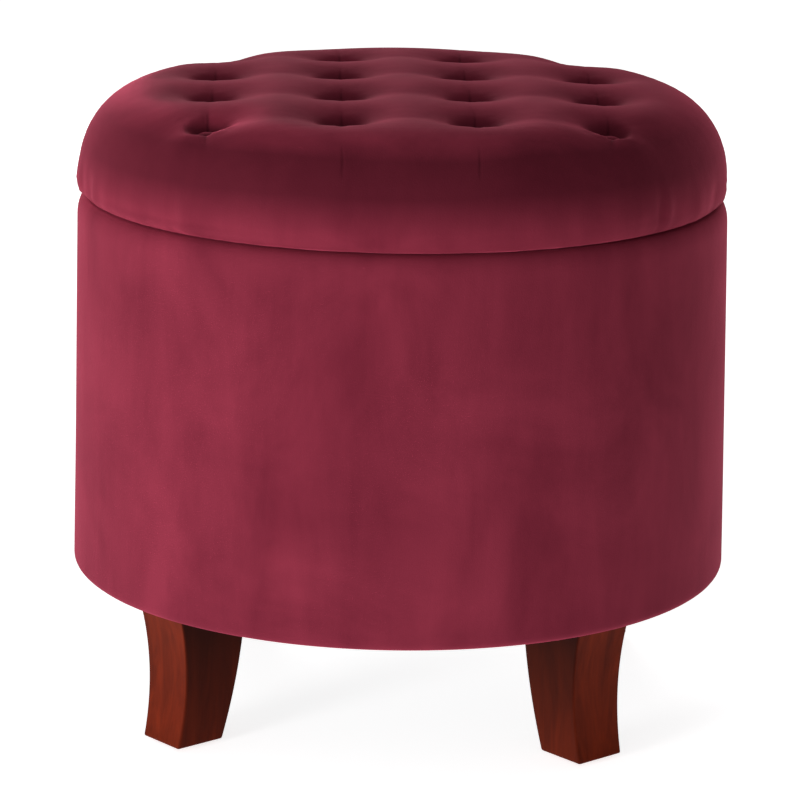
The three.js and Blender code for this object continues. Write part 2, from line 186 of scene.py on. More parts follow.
def velvetMaterial(name, shoulder=None):
    material = bpy.data.materials.new(name)
    g = Graph(material)
    patches = g.noise(g.coords(), velvet["patchScale"], 4.0, 0.55, 0.8)
    brushed = g.noise(g.coords((22, 22, 5)), 1.0, 4.0, 0.6, 0.3)
    pile = g.noise(g.coords(), velvet["pileScale"], 2.0, 0.6)
    nap = (patches * 0.6 + brushed * 0.4).clamp(0.36, 0.64)
    tone = nap * 0.85 + pile * 0.15
    colour = g.mix(tone, velvet["deep"], velvet["lit"])
    if shoulder:  # painted shade: a darker band round the lid's shoulder, where the cloth tilts upward and gets less light
        height = Wire(g, g.node("SeparateXYZ", Vector=g.coords()).outputs["Z"]) + 0.012 * patches
        rising = height.clamp(shoulder[0], shoulder[1])
        falling = 1.0 - height.clamp(shoulder[2], shoulder[3])
        colour = g.mix(rising * falling * velvet["shoulderPaintedShadeShare"], colour, velvet["paintedShade"])
        crease = creaseShare(g)
        # painted shade: the thin creases at the buttons are darkened in colour, besides being dented by the bump
        # below
        colour = g.mix(crease * 0.7, colour, velvet["paintedShade"])
        nap = nap - crease * 2.0
    rough = 0.78 + 0.14 * pile
    normal = g.bump(pile, velvet["pileHeight"], 0.5, g.bump(nap, 0.0008, 0.35))
    g.surface(
        Base_Color=colour,
        Roughness=rough,
        Normal=normal,
        Sheen_Weight=velvet["sheen"],
        Sheen_Roughness=velvet["sheenRoughness"],
        Sheen_Tint=velvet["sheenTint"],
        Specular_IOR_Level=0.06,
    )
    return material


stainedWood = {
    "dark": (0.060, 0.0055, 0.0012),
    "red": (0.150, 0.0150, 0.0030),
    # painted shade colour laid on the legs' side faces
    "paintedSideShade": (0.014, 0.0018, 0.0007),
    "grainScale": (60, 60, 9),
    "coat": 0.02,
}


def stainedWoodMaterial(name, brushed=False):
    material = bpy.data.materials.new(name)
    g = Graph(material)
    where = g.coords(stainedWood["grainScale"])
    figure = g.noise(where, 1.0, 5.0, 0.6, 1.2)
    pores = g.noise(g.coords((420, 420, 30)), 1.0, 2.0, 0.5)
    grain = (figure * 0.8 + pores * 0.2).clamp(0.3, 0.7)
    colour = g.mix(grain, stainedWood["dark"], stainedWood["red"])
    # painted shade: the legs' side faces are darkened by the stain attribute
    if brushed:
        sideShade = Wire(g, g.node("Attribute", {"attribute_name": "stain"}).outputs["Fac"])
        colour = g.mix(sideShade, colour, stainedWood["paintedSideShade"])
    rough = 0.40 + 0.12 * pores
    normal = g.bump(pores, 0.0002, 0.25)
    g.surface(Base_Color=colour, Roughness=rough, Normal=normal, Coat_Weight=stainedWood["coat"],
              Coat_Roughness=0.3, Specular_IOR_Level=0.03)
    return material


def paleWoodMaterial(name, pale, brown, stretch):
    material = bpy.data.materials.new(name)
    g = Graph(material)
    figure = g.noise(g.coords(stretch), 1.0, 5.0, 0.6, 0.8)
    speck = g.noise(g.coords(), 700.0, 2.0)
    grain = (figure * 0.8 + speck * 0.2).clamp(0.32, 0.68)
    rough = 0.62 + 0.2 * speck
    g.surface(Base_Color=g.mix(grain, brown, pale), Roughness=rough, Normal=g.bump(grain, 0.0003, 0.3))
    return material


nonwoven = {"dark": (0.012, 0.012, 0.013), "light": (0.060, 0.059, 0.063), "dotsPerMetre": 420.0}


def nonwovenMaterial():
    material = bpy.data.materials.new("blackNonwoven")
    g = Graph(material)
    dots = g.node("TexVoronoi", {"feature": "F1"}, Vector=g.coords(), Scale=nonwoven["dotsPerMetre"])
    pressed = Wire(g, dots.outputs["Distance"]).clamp(0.15, 0.5)
    fibre = g.noise(g.coords(), 1400.0, 3.0, 0.7)
    colour = g.mix(fibre * 0.6 + pressed * 0.4, nonwoven["dark"], nonwoven["light"])
    g.surface(Base_Color=colour, Roughness=0.72 + 0.2 * fibre, Normal=g.bump(pressed + fibre * 0.5, 0.0003, 0.5))
    return material


def foamMaterial():
    material = bpy.data.materials.new("paleFoam")
    g = Graph(material)
    cells = g.node("TexVoronoi", {"feature": "F1"}, Vector=g.coords(), Scale=800.0)
    pores = Wire(g, cells.outputs["Distance"]).clamp(0.1, 0.6)
    cloud = g.noise(g.coords(), 20.0, 3.0)
    colour = g.mix(pores * 0.7 + cloud * 0.3, (0.62, 0.50, 0.26), (0.86, 0.78, 0.55))
    g.surface(Base_Color=colour, Roughness=0.88 + 0.1 * cloud, Normal=g.bump(pores, 0.0005, 0.6))
    return material


def steelMaterial():
    material = bpy.data.materials.new("zincSteel")
    g = Graph(material)
    brushed = g.noise(g.coords((900, 900, 60)), 1.0, 3.0)
    stain = g.noise(g.coords(), 120.0, 3.0)
    colour = g.mix(stain, (0.42, 0.42, 0.44), (0.66, 0.66, 0.68))
    g.surface(Base_Color=colour, Metallic=1.0, Roughness=0.28 + 0.2 * stain, Normal=g.bump(brushed, 0.0001, 0.2))
    return material


def plasticMaterial():
    material = bpy.data.materials.new("darkPlastic")
    g = Graph(material)
    grain = g.noise(g.coords(), 900.0, 3.0)
    scuff = g.noise(g.coords((60, 200, 60)), 1.0, 4.0)
    colour = g.mix(scuff, (0.018, 0.015, 0.013), (0.045, 0.038, 0.032))
    g.surface(Base_Color=colour, Roughness=0.38 + 0.25 * scuff, Normal=g.bump(grain, 0.0001, 0.3))
    return material


def twineMaterial():
    material = bpy.data.materials.new("waxedTwine")
    g = Graph(material)
    lay = g.node("TexWave", {"wave_type": "BANDS", "bands_direction": "DIAGONAL"}, Vector=g.coords(), Scale=260.0)
    twist = Wire(g, lay.outputs["Fac"])
    colour = g.mix(twist, (0.36, 0.31, 0.21), (0.72, 0.66, 0.52))
    g.surface(Base_Color=colour, Roughness=0.6 + 0.2 * twist, Normal=g.bump(twist, 0.0004, 0.6))
    return material


finishes = {
    "velvet": velvetMaterial("burgundyVelvet"),
    # the lid's copy of the velvet, with painted shade on its shoulder band and at its creases
    "shadedLidVelvet": velvetMaterial("burgundyVelvetLidPaintedShade", (lidFoot + 0.018, lidFoot + 0.044, lidTop - 0.014, lidTop)),
    "stained_wood": stainedWoodMaterial("stainedWood"),
    # the legs' copy of the wood, with painted shade on its side faces
    "legWood": stainedWoodMaterial("stainedLegWoodPaintedShade", brushed=True),
    "plywood": paleWoodMaterial("plywood", (0.62, 0.43, 0.22), (0.42, 0.26, 0.12), (18, 90, 90)),
    "fibreboard": paleWoodMaterial("fibreboard", (0.34, 0.21, 0.11), (0.22, 0.13, 0.07), (120, 120, 120)),
    "black_nonwoven": nonwovenMaterial(),
    "foam": foamMaterial(),
    "steel": steelMaterial(),
    "glide_plastic": plasticMaterial(),
    "twine": twineMaterial(),
}
for part in frame["record"]["subparts"]:
    mesh = nodes[part["node"]].data
    mesh.materials.clear()
    mesh.materials.append(finishes[part["material_slot"]])
print("materials ready:", len(finishes))


def finishPiece(bm, name, slotName, body, *replaced, smooth=True, finish=None):
    bmesh.ops.recalc_face_normals(bm, faces=bm.faces)
    mesh = bpy.data.meshes.new(name)
    bm.to_mesh(mesh)
    bm.free()
    for face in mesh.polygons:
        face.use_smooth = smooth
    mesh.materials.append(finishes[finish or slotName])
    piece = bpy.data.objects.new(name, mesh)
    bpy.context.scene.collection.objects.link(piece)
    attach(piece, body)
    if replaced:
        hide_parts(*replaced)
    return piece


def radiusOf(node):
    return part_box(node)[1].x


def spun(outline, steps, closed=True):
    bm = bmesh.new()
    line = [bm.verts.new((r, 0, z)) for r, z in outline]
    edges = [bm.edges.new(pair) for pair in zip(line, line[1:])]
    if closed:
        edges.append(bm.edges.new((line[-1], line[0])))
    bmesh.ops.spin(bm, geom=line + edges, axis=(0, 0, 1), cent=(0, 0, 0), steps=steps, angle=2 * math.pi,
                   use_merge=True)
    bmesh.ops.remove_doubles(bm, verts=bm.verts, dist=1e-6)
    return bm


def quarter(steps, place):
    return [place(math.cos(a), math.sin(a)) for a in np.linspace(0, math.pi / 2, steps + 1)]


def smoothNoise(points, scale, seed, octaves=3):
    rng = np.random.default_rng(seed)
    total = np.zeros(len(points))
    for octave in range(octaves):
        for _ in range(6):
            direction = rng.normal(size=3)
            direction /= np.linalg.norm(direction)
            phase = rng.uniform(0, 2 * math.pi)
            total += np.sin(points @ direction * scale * 2 ** octave + phase) / 2 ** octave
    return total / 6


barrel = {
    "flare": 0.0042,
    "cloth": 0.0015,
    "footEdge": 0.006,
    "mouthDrop": 0.015,
    "mouthWidth": 0.0072,
    "turnUnder": 0.027,
    "sideRows": 70,
    "steps": 288,
    "ripple": 0.0005,
    "rippleFade": 0.02,
    "boardGap": 0.0003,
    "paddingGap": 0.0006,
    "paddingTopGap": 0.0004,
    "paddingRound": (0.005, 0.012),
    "paddingChamfer": (0.0005, 0.002),
    "seamWidth": 0.0032,
    "seamHeight": 0.0016,
    "seamStart": 0.008,
    "seamTrim": 0.026,
    "seamTaper": 0.006,
    "seamEndDrop": 0.0016,
    "seamSink": 0.0004,
    "seamThickness": 0.0008,
    "stitchHeight": 0.00012,
    "stitchLength": 0.004,
    "stitchShare": 0.2,
}


def barrelCover():
    low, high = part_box("body_cover")
    foot = high.x
    mouth = foot - barrel["flare"]
    turn = radiusOf("wall_board") - barrel["turnUnder"] - barrel["boardGap"]
    edge, drop, width = barrel["footEdge"], barrel["mouthDrop"], barrel["mouthWidth"]
    lower = quarter(6, lambda c, s: (foot - edge + edge * s, low.z + edge - edge * c))
    upper = quarter(8, lambda c, s: (mouth - width + width * c, high.z - drop + drop * s))
    start, end = np.array(lower[-1]), np.array(upper[0])
    side = [tuple(start + (end - start) * t) for t in np.linspace(0, 1, barrel["sideRows"])[1:-1]]
    turnIn = [(turn + (lower[0][0] - turn) * t, low.z) for t in (0, 0.35, 0.7)]
    turnOver = [(turn + (upper[-1][0] - turn) * t, high.z) for t in (0.6, 0.3, 0)]
    bm = spun(turnIn + lower + side + upper + turnOver, barrel["steps"], closed=False)
    points = np.array([v.co for v in bm.verts])
    away = points * (1, 1, 0) / np.linalg.norm(points[:, :2], axis=1)[:, None]
    ripple = smoothNoise(points * (1, 1, 0.45), 26.0, 4) * barrel["ripple"]
    sideShare = np.clip((np.hypot(points[:, 0], points[:, 1]) - turn) / barrel["rippleFade"], 0, 1)
    for vert, shift in zip(bm.verts, away * (ripple * sideShare)[:, None]):
        vert.co += Vector(shift)
    bmesh.ops.recalc_face_normals(bm, faces=bm.faces)
    bmesh.ops.solidify(bm, geom=bm.faces, thickness=barrel["cloth"])
    return finishPiece(bm, "barrelCover", "velvet", "barrel", "body_cover")


def barrelPadding():
    low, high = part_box("wall_padding")
    inner = radiusOf("wall_board") + barrel["boardGap"]
    outer, top = high.x - barrel["paddingGap"], high.z - barrel["paddingTopGap"]
    mouth = outer - barrel["flare"]
    (wide, drop), (cut, rise) = barrel["paddingRound"], barrel["paddingChamfer"]
    edge = quarter(6, lambda c, s: (mouth - wide + wide * c, top - drop + drop * s))
    bm = spun([(inner, low.z), (outer, low.z), (outer - cut, low.z + rise)] + edge + [(inner, top)],
              barrel["steps"] // 2)
    return finishPiece(bm, "barrelPadding", "foam", "barrel", "wall_padding", smooth=False)


# the cloth's upright join at the back: two soft ridges with the stitched line between them
def barrelSeam():
    low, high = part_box("body_cover")
    foot, mouth = high.x, high.x - barrel["flare"]
    start, trim = barrel["seamStart"], barrel["seamTrim"]
    rows = [(foot + (mouth - foot) * t, low.z + start + (high.z - low.z - trim) * t) for t in np.linspace(0, 1, 60)]
    bm = bmesh.new()
    line = [bm.verts.new((0, r, z)) for r, z in rows]
    edges = [bm.edges.new(pair) for pair in zip(line, line[1:])]
    half = barrel["seamWidth"] / foot
    bmesh.ops.rotate(bm, verts=line, cent=(0, 0, 0), matrix=Matrix.Rotation(-half, 3, "Z"))
    bmesh.ops.spin(bm, geom=line + edges, axis=(0, 0, 1), cent=(0, 0, 0), steps=16, angle=2 * half)
    for vert in bm.verts:
        share = math.atan2(-vert.co.x, vert.co.y) / half
        stitch = barrel["stitchHeight"] * math.sin(vert.co.z * 2 * math.pi / barrel["stitchLength"])
        stitch *= abs(share) < barrel["stitchShare"]
        fromEnd = min(vert.co.z - rows[0][1], rows[-1][1] - vert.co.z)
        lift = barrel["seamHeight"] * abs(math.sin(math.pi * share)) ** 0.8 - barrel["seamSink"] + stitch
        lift -= barrel["seamEndDrop"] * max(0, 1 - fromEnd / barrel["seamTaper"])
        vert.co += Vector((vert.co.x, vert.co.y, 0)).normalized() * lift
    bmesh.ops.recalc_face_normals(bm, faces=bm.faces)
    bmesh.ops.solidify(bm, geom=bm.faces, thickness=barrel["seamThickness"])
    return finishPiece(bm, "barrelSeam", "velvet", "barrel")


barrelCloth = barrelCover()
barrelPadding()
barrelSeam()
print("barrel cover done")


lid = {
    "setback": 0.0013,
    "sideHeight": 0.0115,
    "edgeWidth": 0.008,
    "shoulderWidth": 0.0535,
    "shoulderPower": 2.07,
    "crown": 0.0035,
    "cloth": 0.0015,
    "gap": 0.0003,
    "turnedUnder": 0.012,
    "padGap": 0.0012,
    "padInset": 0.014,
    "grid": 104,
    "padGrid": 100,
    "topStart": 0.022,
    "topFade": 0.035,
    "seatRadius": 0.0075,
    "funnel": 0.0115,
    "funnelPower": 1.4,
    "sag": 0.42,
    "sagReach": 0.028,
    "valley": 0.0013,
    "valleyWidth": 0.013,
    "valleyEnd": 0.035,
    "cornerButtons": 0.15,
    "cornerPuff": 0.003,
    "puffPlace": 0.024,
    "puffWidth": 0.02,
    "pleat": 0.0030,
    "pleatWidth": 0.0026,
    "pleatReach": 0.024,
    "pleatStart": 0.004,
    "gather": 0.0016,
    "lump": 0.0016,
    "gatherHeight": 0.010,
    "gatherSpread": 0.014,
    "edgeFade": 0.003,
    "lip": 0.0022,
    "lipHeight": 0.0055,
    "lipSpread": 0.003,
    "lipBearing": -0.75,
    "lipWidth": 0.32,
    "foldHeight": 0.014,
    "foldSpread": 0.016,
    "folds": [(0.93, 0.0022, 0.0048), (-0.66, 0.0015, 0.006), (-0.36, 0.0011, 0.007), (2.4, 0.0014, 0.006)],
}
lidRadius = radiusOf("body_cover") - barrel["flare"] - lid["setback"]
seatHeights = [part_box("tuft_button_" + name)[0].z - lid["gap"] for name in tuftNames]


def domeProfile(depth, turnRadius):
    low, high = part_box("lid_cover")
    widest = low.z + lid["sideHeight"]
    rim = lidRadius - lid["shoulderWidth"]
    outer = lidRadius - depth
    rise = high.z - lid["crown"] - widest - depth
    edge = max(lid["edgeWidth"] - depth, 0.001)
    bottom = low.z + depth
    power = 2 / lid["shoulderPower"]
    crown = [(rim * t, widest + rise + lid["crown"] * (1 - t * t)) for t in np.linspace(0, 1, 30)]
    shoulder = quarter(60, lambda c, s: (rim + (outer - rim) * s ** power, widest + rise * c ** power))
    lower = quarter(16, lambda c, s: (outer - edge + edge * c, widest - (widest - bottom) * s))
    under = [(lower[-1][0] + (turnRadius - lower[-1][0]) * t, bottom) for t in (0.5, 1)]
    points = np.array(crown + shoulder[1:] + lower[1:] + under)
    length = np.concatenate([[0], np.cumsum(np.hypot(*np.diff(points, axis=0).T))])
    return points, length


def domeGrid(count, depth, turnRadius):
    profile, length = domeProfile(depth, turnRadius)
    bm = bmesh.new()
    bmesh.ops.create_grid(bm, x_segments=count, y_segments=count, size=1.0)
    flat = np.array([v.co for v in bm.verts])
    x = flat[:, 0] * np.sqrt(1 - flat[:, 1] ** 2 / 2)
    y = flat[:, 1] * np.sqrt(1 - flat[:, 0] ** 2 / 2)
    reach = np.minimum(np.hypot(x, y), 1)
    angle = np.arctan2(y, x) + lidTurn
    r = np.interp(reach * length[-1], length, profile[:, 0])
    z = np.interp(reach * length[-1], length, profile[:, 1])
    places = np.stack([r * np.cos(angle), r * np.sin(angle), z], 1)
    for vert, place in zip(bm.verts, places):
        vert.co = place
    return bm, places


def gridPlace(places):
    across = (places[:, 0] * math.cos(lidTurn) + places[:, 1] * math.sin(lidTurn)) / tuftSpacing
    along = (places[:, 1] * math.cos(lidTurn) - places[:, 0] * math.sin(lidTurn)) / tuftSpacing
    return across, along


# the twine pulls a small funnel at each button, with a shallow valley along each row of buttons; the pleat running to
# the front and back is added by pleated
def tufted(places, depth):
    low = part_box("lid_cover")[0]
    across, along = gridPlace(places)
    onTop = np.clip((places[:, 2] + depth - low.z - lid["topStart"]) / lid["topFade"], 0, 1)
    alongGap = lineDistance(along)
    rowValley = np.exp(-(alongGap / lid["valleyWidth"]) ** 2) * fadeOut(across)
    heights = places[:, 2] - lid["valley"] * rowValley * onTop
    rng = np.random.default_rng(11)
    for tuft, seat in zip(tuftPlaces, seatHeights):
        d = np.hypot(places[:, 0] - tuft.x, places[:, 1] - tuft.y)
        reach = lid["funnel"] * rng.uniform(0.92, 1.08)
        pit = np.clip(1 - (d - lid["seatRadius"]) / reach, 0, 1) ** lid["funnelPower"]
        if tuft.xy.length > lid["cornerButtons"]:  # the corner pillows puff up outside their buttons
            outside = tuft.xy * (1 + lid["puffPlace"] / tuft.xy.length)
            away = np.hypot(places[:, 0] - outside.x, places[:, 1] - outside.y)
            heights = heights + lid["cornerPuff"] * np.exp(-(away / lid["puffWidth"]) ** 2) * onTop
        share = np.maximum(pit * (1 - lid["sag"]) + lid["sag"] * np.exp(-(d / lid["sagReach"]) ** 2), pit >= 1)
        heights = heights - np.maximum(heights - (seat - depth), 0) * share * onTop
    return heights


# the folded pleat at each button, fading along its line
def pleated(places):
    across, along = gridPlace(places)
    acrossGap, alongGap = lineDistance(across), lineDistance(along)
    onTop = np.clip((places[:, 2] - lidFoot - lid["topStart"]) / lid["topFade"], 0, 1)
    away = np.clip((alongGap - lid["seatRadius"]) / lid["pleatStart"], 0, 1)
    return (lid["pleat"] * np.exp(-(acrossGap / lid["pleatWidth"]) ** 2)
            * np.exp(-(alongGap / lid["pleatReach"]) ** 2) * onTop * away)


# cloth pulled under the board puckers a little above the lid's lower edge
def gathered(places):
    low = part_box("lid_cover")[0]
    away = places * (1, 1, 0) / np.maximum(np.linalg.norm(places[:, :2], axis=1), 1e-6)[:, None]
    level = places[:, 2] - low.z
    aboveEdge = np.clip(level / lid["edgeFade"], 0, 1)
    nearEdge = np.exp(-((level - lid["gatherHeight"]) / lid["gatherSpread"]) ** 2) * aboveEdge
    folds = smoothNoise(places * (1, 1, 0.3), 150.0, 21, 2) * lid["gather"]
    lumps = smoothNoise(places * (1, 1, 0.5), 42.0, 22, 2) * lid["lump"]
    bearing = np.arctan2(places[:, 0], -places[:, 1])
    lip = np.exp(-((level - lid["lipHeight"]) / lid["lipSpread"]) ** 2)
    lip = lip * np.exp(-((bearing - lid["lipBearing"]) / lid["lipWidth"]) ** 2) * lid["lip"]
    upright = np.exp(-((level - lid["foldHeight"]) / lid["foldSpread"]) ** 2) * aboveEdge
    for place, depth, width in lid["folds"]:
        across = (bearing - place) * lidRadius / width
        lip -= (np.exp(-across ** 2) - 0.5 * np.exp(-((across - 1.8) / 1.2) ** 2)) * depth * upright
    return away * ((folds + lumps) * nearEdge + lip)[:, None]


def lineDistance(u):
    nearest = np.clip(np.round(np.abs(u) - 0.5), 0, 1) + 0.5
    return np.abs(np.abs(u) - nearest) * tuftSpacing


def fadeOut(v):
    beyond = np.maximum(np.abs(v) - 1.5, 0) * tuftSpacing
    return np.exp(-(beyond / lid["valleyEnd"]) ** 2)


lidSwell = {
    "pressure": 60.0,
    "clothMass": 0.01,
    "stiffness": 6.0,
    "bending": 0.5,
    "frames": 20,
    "cap": 0.004,
    "hold": 0.012,
    "seatMargin": 0.0015,
}


# cloth simulation: the cover swells between the twine points, held at the seats and under the lid's edge
def swollen(bm):
    start = np.array([v.co for v in bm.verts])
    held = start[:, 2] < lidFoot + lidSwell["hold"]
    for tuft in tuftPlaces:
        held |= np.hypot(start[:, 0] - tuft.x, start[:, 1] - tuft.y) < lid["seatRadius"] + lidSwell["seatMargin"]
    mesh = bpy.data.meshes.new("swellingCloth")
    bm.to_mesh(mesh)
    cloth = bpy.data.objects.new("swellingCloth", mesh)
    scene = bpy.context.scene
    scene.collection.objects.link(cloth)
    cloth.vertex_groups.new(name="held").add(np.flatnonzero(held).tolist(), 1.0, "REPLACE")
    settings = cloth.modifiers.new("swell", "CLOTH").settings
    settings.vertex_group_mass = "held"
    settings.use_pressure = True
    settings.uniform_pressure_force = lidSwell["pressure"]
    settings.mass = lidSwell["clothMass"]
    settings.effector_weights.gravity = 0
    settings.tension_stiffness = settings.compression_stiffness = lidSwell["stiffness"]
    settings.bending_stiffness = lidSwell["bending"]
    for step in range(1, lidSwell["frames"] + 1):
        scene.frame_set(step)
    after = cloth.evaluated_get(bpy.context.evaluated_depsgraph_get()).data
    shift = np.array([v.co for v in after.vertices]) - start
    bpy.data.objects.remove(cloth)
    scene.frame_set(1)
    size = np.linalg.norm(shift, axis=1)[:, None]
    print("cloth moved by up to", round(float(size.max()) * 1000, 2), "mm, middle",
          round(float(np.median(size)) * 1000, 2))
    return start + shift * np.minimum(1, lidSwell["cap"] / np.maximum(size, 1e-9))


def lidCushion():
    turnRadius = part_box("lid_liner")[1].x - lid["turnedUnder"]
    bm, places = domeGrid(lid["grid"], 0.0, turnRadius)
    heights = tufted(places, 0.0)
    for vert, height in zip(bm.verts, heights):
        vert.co.z = height
    bmesh.ops.recalc_face_normals(bm, faces=bm.faces)
    if max(bm.faces, key=lambda face: face.calc_center_median().z).normal.z < 0:
        bmesh.ops.reverse_faces(bm, faces=bm.faces)
    for vert, place in zip(bm.verts, swollen(bm)):
        vert.co = place
    bmesh.ops.subdivide_edges(bm, edges=bm.edges, cuts=1, use_grid_fill=True, smooth=1.0)
    places = np.array([v.co for v in bm.verts])
    places = places + gathered(places) - (0, 0, 1) * pleated(places)[:, None]
    for vert, place in zip(bm.verts, places):
        vert.co = place
    bmesh.ops.solidify(bm, geom=bm.faces, thickness=lid["cloth"])
    return finishPiece(bm, "lidCushion", "velvet", "lid", "lid_cover", finish="shadedLidVelvet")


def lidPad():
    inset = lid["cloth"] + lid["padGap"]
    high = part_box("lid_board")[1]
    board = lidRadius - lid["padInset"] + lid["gap"]
    bm, places = domeGrid(lid["padGrid"], inset, board)
    heights = tufted(places, inset)
    for vert, height in zip(bm.verts, heights):
        vert.co.z = height
    rimEdges = [e for e in bm.edges if e.is_boundary]
    raised = bmesh.ops.extrude_edge_only(bm, edges=rimEdges)["geom"]
    top = [g for g in raised if isinstance(g, bmesh.types.BMVert)]
    for vert in top:
        vert.co.z = high.z + lid["gap"]
    bmesh.ops.holes_fill(bm, edges=[e for e in bm.edges if e.is_boundary], sides=0)
    return finishPiece(bm, "lidPad", "foam", "lid", "lid_foam")


lidCloth = lidCushion()
lidFoam = lidPad()
print("lid done, turned", round(math.degrees(lidTurn), 2), "degrees")

button = {"radius": 0.008, "edge": 0.0015, "flatShare": 0.55, "rise": 0.0003, "steps": 32}


def tuftButton(name):
    low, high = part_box("tuft_button_" + name)
    radius = button["radius"]
    centre = (low + high) / 2
    tall = high.z - low.z
    edge = button["edge"]
    cap = quarter(8, lambda c, s: (radius * c, edge + (tall - edge) * s))
    outline = [(0, 0), (radius * button["flatShare"], 0), (radius - edge, button["rise"])] + cap[:-1] + [(0, tall)]
    bm = spun(outline, button["steps"], closed=False)
    bmesh.ops.translate(bm, verts=bm.verts, vec=(centre.x, centre.y, low.z))
    return finishPiece(bm, "tuftButton_" + name, "velvet", "lid", "tuft_button_" + name)


for name in tuftNames:
    tuftButton(name)
print("buttons done")


# the first entry gives the share of painted shade on a leg's side faces, at the foot and at the top
leg = {"sideShadeFootToTop": (0.30, 0.95), "hollow": 0.0065, "belly": 0.0035, "edge": 0.0016, "rows": 26, "edgeSteps": 3}


def turnOf(name):
    low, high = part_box(name)
    return math.atan2(low.y + high.y, low.x + high.x)


# a sabre leg: its outer face hollows, its inner face bellies, and it narrows to the foot
def sabreLeg(corner):
    solid = "leg_" + corner
    turn = turnOf("glide_" + corner)
    back = Matrix.Rotation(-turn, 3, "Z")
    points = np.array([back @ v.co for v in nodes[solid].data.vertices])
    low, high = points[:, 2].min(), points[:, 2].max()
    top, foot = points[points[:, 2] > high - 0.001], points[points[:, 2] < low + 0.001]
    bm = bmesh.new()
    bmesh.ops.create_grid(bm, x_segments=2, y_segments=leg["rows"], size=0.5)
    bmesh.ops.rotate(bm, verts=bm.verts, cent=(0, 0, 0), matrix=Matrix.Rotation(math.pi / 2, 3, "X"))
    made = bmesh.ops.extrude_face_region(bm, geom=bm.faces[:])["geom"]
    far = [g for g in made if isinstance(g, bmesh.types.BMVert)]
    bmesh.ops.translate(bm, verts=far, vec=(0, 1, 0))
    bmesh.ops.translate(bm, verts=bm.verts, vec=(0.5, -0.5, 0.5))
    for vert in bm.verts:
        across, side, up = vert.co
        bow = 4 * up * (1 - up)
        outer = foot[:, 0].max() * (1 - up) + top[:, 0].max() * up - leg["hollow"] * bow
        inner = foot[:, 0].min() * (1 - up) + top[:, 0].min() * up - leg["belly"] * bow
        width = np.ptp(foot[:, 1]) * (1 - up) + np.ptp(top[:, 1]) * up
        vert.co = (inner + (outer - inner) * across, side * width, low + (high - low) * up)
    bmesh.ops.recalc_face_normals(bm, faces=bm.faces)
    sharp = [e for e in bm.edges if e.calc_face_angle(0) > math.radians(50)]
    bmesh.ops.bevel(bm, geom=sharp, offset=leg["edge"], segments=leg["edgeSteps"], affect="EDGES", profile=0.5,
                    material=-1)
    bmesh.ops.rotate(bm, verts=bm.verts, cent=(0, 0, 0), matrix=Matrix.Rotation(turn, 3, "Z"))
    piece = finishPiece(bm, "sabreLeg_" + corner, "stained_wood", "barrel", solid, smooth=False, finish="legWood")
    # painted shade: the side and inner faces are darkened through the stain attribute, most of all near the top under
    # the seat
    stain = piece.data.attributes.new("stain", "FLOAT", "CORNER")
    for face in piece.data.polygons:
        sideways = min(1, abs((back @ face.normal).y) * 1.25 + max(0, -(back @ face.normal).x))
        for loop in face.loop_indices:
            up = (piece.data.vertices[piece.data.loops[loop].vertex_index].co.z - low) / (high - low)
            stain.data[loop].value = sideways * (leg["sideShadeFootToTop"][0] * (1 - up) + leg["sideShadeFootToTop"][1] * up)
    return piece


glide = {"edge": 0.001, "nail": 0.00125, "dish": 0.0004, "steps": 40}


def footGlide(corner):
    low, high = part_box("glide_" + corner)
    centre = (low + high) / 2
    radius = high.x - centre.x + glide["edge"] * 0.4
    edge, nail, under = glide["edge"], glide["nail"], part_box("leg_" + corner)[0].z - 0.0003
    rim = quarter(4, lambda c, s: (radius - edge + edge * s, edge - edge * c))
    outline = [(0, glide["dish"]), (0.004, glide["dish"]), (0.006, 0)] + rim
    outline += [(radius, under - 0.0004), (radius - 0.0004, under), (nail, under), (nail, high.z - nail), (0, high.z)]
    bm = spun(outline, glide["steps"], closed=False)
    bmesh.ops.translate(bm, verts=bm.verts, vec=(centre.x, centre.y, 0))
    return finishPiece(bm, "footGlide_" + corner, "glide_plastic", "barrel", "glide_" + corner)


for corner in corners:
    sabreLeg(corner)
    footGlide(corner)
print("legs done")

liner = {"cloth": 0.0006, "wallGap": 0.0013, "steps": 192, "wallWrinkle": 0.0008, "diskWrinkle": 0.0003,
         "flange": 0.012, "bend": 0.001, "lap": 0.006, "calmTop": 0.03, "calmFoot": 0.02}


# a round of nonwoven cloth, laid or pulled flat, its wrinkles kept under its own thickness
def clothDisk(name, node, body, seed):
    low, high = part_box(node)
    rings = [(high.x * t, high.z) for t in np.linspace(0, 1, 40)]
    bm = spun(rings, liner["steps"], closed=False)
    points = np.array([v.co for v in bm.verts])
    wrinkle = np.abs(smoothNoise(points, 30.0, seed)) * liner["diskWrinkle"]
    for vert, drop in zip(bm.verts, wrinkle):
        vert.co.z -= min(drop, high.z - low.z - liner["cloth"])
    bmesh.ops.recalc_face_normals(bm, faces=bm.faces)
    if bm.faces[0].normal.z < 0:
        bmesh.ops.reverse_faces(bm, faces=bm.faces)
    bmesh.ops.solidify(bm, geom=bm.faces, thickness=liner["cloth"])
    return finishPiece(bm, name, "black_nonwoven", body, node)


